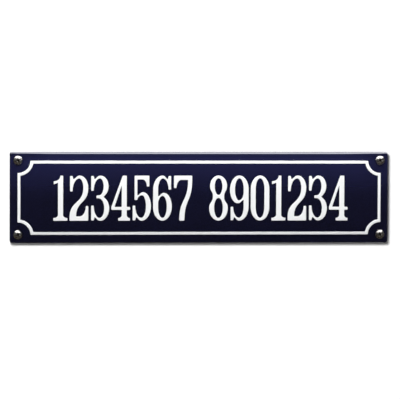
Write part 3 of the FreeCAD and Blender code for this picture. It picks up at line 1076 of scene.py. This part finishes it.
def make_backdrop(settings):
    """The wall behind the sign, and the floor."""
    wall = stage_plane(
        "backdrop", (BACKDROP_WIDTH, 2 * settings.floor_drop),
        Matrix.Translation(Y_AXIS * WALL_GAP) @ STAND_UP, backdrop_material("pale_wall", white=0.36),
    )
    for ray in ("visible_diffuse", "visible_glossy", "visible_shadow"):
        setattr(wall, ray, False)
    floor = stage_plane(
        "floor", (BACKDROP_WIDTH, FLOOR_DEPTH),
        Matrix.Translation(Vector((0, -FLOOR_DEPTH / 2, -settings.floor_drop))),
        backdrop_material("pale_floor", white=0.8),
    )
    floor.visible_glossy = False
    return [wall, floor]


def area_lamp(name, place, turn, size, glow):
    """A rectangular soft lamp of an even radiance."""
    data = bpy.data.lights.new(name, "AREA")
    data.shape = "RECTANGLE"
    data.size, data.size_y = size
    data.energy = glow * math.pi * size[0] * size[1]
    lamp = add_object(name, data)
    lamp.location = place
    lamp.rotation_euler = turn
    lamp.visible_camera = False
    return lamp


def softbox(name, place, size, glow):
    """A soft lamp that shines at the sign's middle."""
    return area_lamp(name, place, aimed(place), size, glow)


def overhead_panel(name, sizes):
    """A panel above the sign that shines straight down."""
    depth = sizes.front + sizes.back
    above = Vector((0, sizes.back - depth / 2, sizes.height))
    return area_lamp(name, above, (0, 0, 0), (sizes.span, depth), sizes.glow)


def light_only(lamp, pieces, state):
    """Let a lamp light only some pieces, or all but them."""
    receivers = bpy.data.collections.new(lamp.name + "_receivers")
    for piece in pieces:
        receivers.objects.link(piece)
    for entry in receivers.collection_objects:
        entry.light_linking.link_state = state
    lamp.light_linking.receiver_collection = receivers


def make_lamps(scene, backdrop):
    """Two panels overhead, and soft lamps for the wall, for the sign's front and behind it."""
    settings = scene.sign_stage
    screws = [bpy.data.objects["screw_" + name] for name in CORNERS]
    enamel_panel = overhead_panel("enamel_panel", scene.sign_enamel_panel)
    light_only(enamel_panel, backdrop + screws, "EXCLUDE")
    screw_panel = overhead_panel("screw_panel", scene.sign_screw_panel)
    light_only(screw_panel, screws, "INCLUDE")
    slanted = round_the_sign(settings.wall_azimuth, settings.wall_elevation, distance=1.5)
    square = (settings.wall_size, settings.wall_size)
    wall_lamp = softbox("wall_softbox", slanted, square, settings.wall_glow)
    light_only(wall_lamp, backdrop, "INCLUDE")
    above_camera = round_the_sign(settings.azimuth, settings.fill_elevation, distance=2)
    fill = softbox("fill_softbox", above_camera, size=(1.0, 0.6), glow=settings.fill_glow)
    fill.visible_glossy = False
    light_only(fill, backdrop, "EXCLUDE")
    behind = Vector((0.5, 1.4, 0.9))
    rear = softbox("rear_softbox", behind, size=(2.4, 1.6), glow=settings.rear_glow)
    light_only(rear, screws, "EXCLUDE")


def make_world(settings):
    """White to the camera; to the object, a soft sky that is dim below the horizon."""
    world = bpy.data.worlds.new("studio")
    bpy.context.scene.world = world
    tree = empty_nodes(world)
    place = add_node(tree, "ShaderNodeTexCoord").outputs["Generated"]
    up = add_node(tree, "ShaderNodeSeparateXYZ", {"Vector": place}).outputs["Z"]
    low = spread(tree, up, *HORIZON_BAND, to_low=settings.ground, to_high=settings.horizon)
    high = spread(tree, up, *SKY_BAND, to_low=0.0, to_high=settings.sky - settings.horizon)
    colours = {
        "Fac": spread(tree, up, *HORIZON_BAND, to_low=0.0, to_high=1.0),
        "Color1": (*settings.ground_tint, 1),
        "Color2": (*settings.sky_tint, 1),
    }
    tinted = add_node(tree, "ShaderNodeMixRGB", colours).outputs["Color"]
    glow = calculate(tree, "ADD", low, high)
    dim = add_node(tree, "ShaderNodeBackground", {"Color": tinted, "Strength": glow})
    white = add_node(tree, "ShaderNodeBackground", {"Color": (1, 1, 1, 1)})
    seen = add_node(tree, "ShaderNodeLightPath").outputs["Is Camera Ray"]
    surface = mix(tree, seen, dim.outputs["Background"], white.outputs["Background"])
    add_node(tree, "ShaderNodeOutputWorld", {"Surface": surface})


def make_camera(settings):
    """A long lens at the photo's angle."""
    data = bpy.data.cameras.new("camera")
    data.lens = settings.lens
    data.shift_x = settings.shift_x
    data.shift_y = settings.shift_y
    camera = add_object("camera", data)
    camera.location = round_the_sign(settings.azimuth, settings.elevation, settings.distance)
    camera.rotation_euler = aimed(camera.location)
    camera.rotation_euler.rotate_axis("Z", settings.roll)
    bpy.context.scene.camera = camera


def make_stage(context):
    """Wall, floor, lamps, world and camera."""
    settings = context.scene.sign_stage
    make_lamps(context.scene, make_backdrop(settings))
    make_world(settings)
    make_camera(settings)
    context.scene.view_settings.view_transform = "Standard"


# Operators: one for each piece or group of like pieces, and one for the stage


class SIGN_OT_add_plate(bpy.types.Operator):
    """Build the enamelled plate in place of the packed one"""

    bl_idname = "street_sign.add_plate"
    bl_label = "Add the plate"

    def execute(self, context):
        piece = make_plate(context)
        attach(piece, "root")
        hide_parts("sign_plate")
        return {"FINISHED"}


class SIGN_OT_add_border(bpy.types.Operator):
    """Build the raised white line in place of the packed one"""

    bl_idname = "street_sign.add_border"
    bl_label = "Add the white line"

    def execute(self, context):
        piece = make_border(context)
        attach(piece, "root")
        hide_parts("white_border")
        return {"FINISHED"}


class SIGN_OT_add_numerals(bpy.types.Operator):
    """Set the raised numerals on the face"""

    bl_idname = "street_sign.add_numerals"
    bl_label = "Add the numerals"

    def execute(self, context):
        piece = make_numerals(context)
        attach(piece, "root")
        return {"FINISHED"}


class SIGN_OT_add_screws(bpy.types.Operator):
    """Build the four screws in place of the packed ones"""

    bl_idname = "street_sign.add_screws"
    bl_label = "Add the screws"

    def execute(self, context):
        for piece in make_screws(context):
            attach(piece, "root")
            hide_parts("fixing_screws")
        return {"FINISHED"}


class SIGN_OT_add_stage(bpy.types.Operator):
    """Set up the backdrop, the lamps and the camera"""

    bl_idname = "street_sign.add_stage"
    bl_label = "Add the stage"

    def execute(self, context):
        make_stage(context)
        return {"FINISHED"}


OPERATORS = (
    SIGN_OT_add_plate,
    SIGN_OT_add_border,
    SIGN_OT_add_numerals,
    SIGN_OT_add_screws,
    SIGN_OT_add_stage,
)


class SIGN_PT_sidebar(bpy.types.Panel):
    """The sign's pieces and sizes"""

    bl_idname = "SIGN_PT_sidebar"
    bl_label = "Street sign"
    bl_space_type = "VIEW_3D"
    bl_region_type = "UI"
    bl_category = "Street sign"

    def draw(self, context):
        for operator in OPERATORS:
            self.layout.operator(operator.bl_idname)
        for name, kind in PROPERTY_GROUPS.items():
            box = self.layout.box()
            box.label(text=kind.__doc__)
            for key in kind.__annotations__:
                box.prop(getattr(context.scene, name), key)


def register():
    """Register the properties, the operators and the panel."""
    for name, kind in PROPERTY_GROUPS.items():
        bpy.utils.register_class(kind)
        setattr(bpy.types.Scene, name, bpy.props.PointerProperty(type=kind))
    for operator in OPERATORS:
        bpy.utils.register_class(operator)
    bpy.utils.register_class(SIGN_PT_sidebar)


def unregister():
    """Undo register."""
    bpy.utils.unregister_class(SIGN_PT_sidebar)
    for operator in reversed(OPERATORS):
        bpy.utils.unregister_class(operator)
    for name, kind in reversed(PROPERTY_GROUPS.items()):
        delattr(bpy.types.Scene, name)
        bpy.utils.unregister_class(kind)


def main():
    """Register the classes, build every piece and set up the stage."""
    register()
    bpy.ops.street_sign.add_plate()
    bpy.ops.street_sign.add_border()
    bpy.ops.street_sign.add_numerals()
    bpy.ops.street_sign.add_screws()
    bpy.ops.street_sign.add_stage()


if __name__ == "__main__":
    main()
